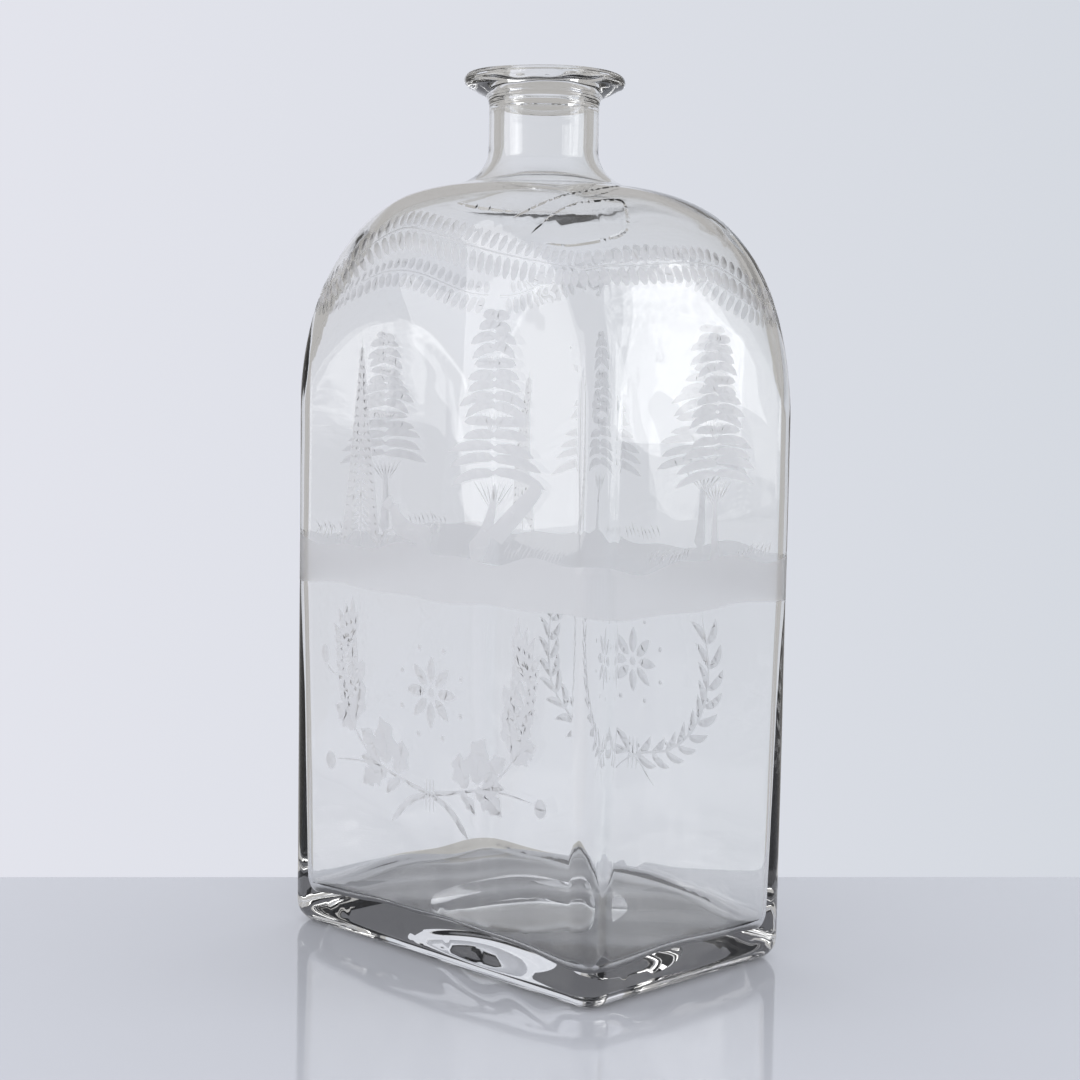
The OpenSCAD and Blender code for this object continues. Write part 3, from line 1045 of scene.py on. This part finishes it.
table_mat = bpy.data.materials.new("glossy_table")
table_mat.use_nodes = True
bsdf = table_mat.node_tree.nodes["Principled BSDF"]
bsdf.inputs["Base Color"].default_value = (0.47, 0.485, 0.53, 1)
# The table glows faintly all over: painted light that lifts the shadows on it, standing in for the
# light the glass would let through.
bsdf.inputs["Emission Color"].default_value = (0.95, 0.95, 1.0, 1)
bsdf.inputs["Emission Strength"].default_value = 0.06
bsdf.inputs["Roughness"].default_value = 0.06
TABLE_REACH = 1.2
TABLE_END_LEFT = -0.0136
TABLE_END_RIGHT = 0.148
quad("table", [place_at(-TABLE_REACH, -TABLE_REACH, 0), place_at(TABLE_REACH, -TABLE_REACH, 0),
               place_at(TABLE_REACH, TABLE_END_RIGHT, 0),
               place_at(-TABLE_REACH, TABLE_END_LEFT, 0)], table_mat)

back_mat = bpy.data.materials.new("pale_backdrop")
back_mat.use_nodes = True
nodes, links = back_mat.node_tree.nodes, back_mat.node_tree.links
nodes.clear()
out = nodes.new("ShaderNodeOutputMaterial")
glow = nodes.new("ShaderNodeEmission")
# The backdrop's glow is lighter on the left and darker on the right: painted light, as if a lamp on the
# left lit it.
coord = nodes.new("ShaderNodeTexCoord")
axis = nodes.new("ShaderNodeVectorMath")
axis.operation = "DOT_PRODUCT"
axis.inputs[1].default_value = RIGHTWARD
fade = nodes.new("ShaderNodeMapRange")
fade.inputs["From Min"].default_value = -0.45
fade.inputs["From Max"].default_value = 0.45
painted_side_light = nodes.new("ShaderNodeMix")
painted_side_light.data_type = "RGBA"
painted_side_light.inputs["A"].default_value = (0.775, 0.783, 0.847, 1)
painted_side_light.inputs["B"].default_value = (0.66, 0.69, 0.745, 1)
links.new(coord.outputs["Object"], axis.inputs[0])
links.new(axis.outputs["Value"], fade.inputs["Value"])
links.new(fade.outputs["Result"], painted_side_light.inputs["Factor"])
links.new(painted_side_light.outputs["Result"], glow.inputs["Color"])
links.new(glow.outputs["Emission"], out.inputs["Surface"])
BACK_DEPTH = 0.9
BACK_HALF = 0.44
BACK_LOW = -0.4
BACK_TOP = 0.52
quad("backdrop", [place_at(-BACK_HALF, BACK_DEPTH, BACK_LOW),
                  place_at(BACK_HALF, BACK_DEPTH, BACK_LOW),
                  place_at(BACK_HALF, BACK_DEPTH, BACK_TOP),
                  place_at(-BACK_HALF, BACK_DEPTH, BACK_TOP)], back_mat)

# The room: bright for the table and matt glass, dimmer where clear glass and gloss look past the
# backdrop, so that the glass has dark edges, and pale for the camera.
world = bpy.data.worlds.new("room")
bpy.context.scene.world = world
world.use_nodes = True
nodes, links = world.node_tree.nodes, world.node_tree.links
back = nodes["Background"]
path = nodes.new("ShaderNodeLightPath")
ray = nodes.new("ShaderNodeMath")
ray.operation = "ADD"
room = nodes.new("ShaderNodeMix")
room.data_type = "RGBA"
room.inputs["A"].default_value = (1.0, 1.01, 1.04, 1)
room.inputs["B"].default_value = (0.47, 0.46, 0.45, 1)
shown = nodes.new("ShaderNodeMix")
shown.data_type = "RGBA"
shown.inputs["B"].default_value = (0.72, 0.74, 0.79, 1)
links.new(path.outputs["Is Glossy Ray"], ray.inputs[0])
links.new(path.outputs["Is Transmission Ray"], ray.inputs[1])
links.new(ray.outputs["Value"], room.inputs["Factor"])
links.new(room.outputs["Result"], shown.inputs["A"])
links.new(path.outputs["Is Camera Ray"], shown.inputs["Factor"])
links.new(shown.outputs["Result"], back.inputs["Color"])


LAMP_ASIDE = 0.62


def softbox(name, side, depth, height, wide, tall, watts):
    """A softbox: an upright rectangular lamp on one side that faces straight across."""
    data = bpy.data.lights.new(name, "AREA")
    data.shape = "RECTANGLE"
    data.size, data.size_y = wide, tall
    data.energy = watts
    obj = bpy.data.objects.new(name, data)
    bpy.context.scene.collection.objects.link(obj)
    obj.location = place_at(side * LAMP_ASIDE, depth, height)
    obj.rotation_mode = "QUATERNION"
    obj.rotation_quaternion = (RIGHTWARD * -side).to_track_quat("-Z", "Y")


softbox("softbox_left", -1, -0.22, 0.34, 0.42, 0.54, 1.3)
softbox("softbox_right", 1, -0.13, 0.36, 0.30, 0.48, 1.0)

bpy.context.scene.view_settings.view_transform = "Standard"
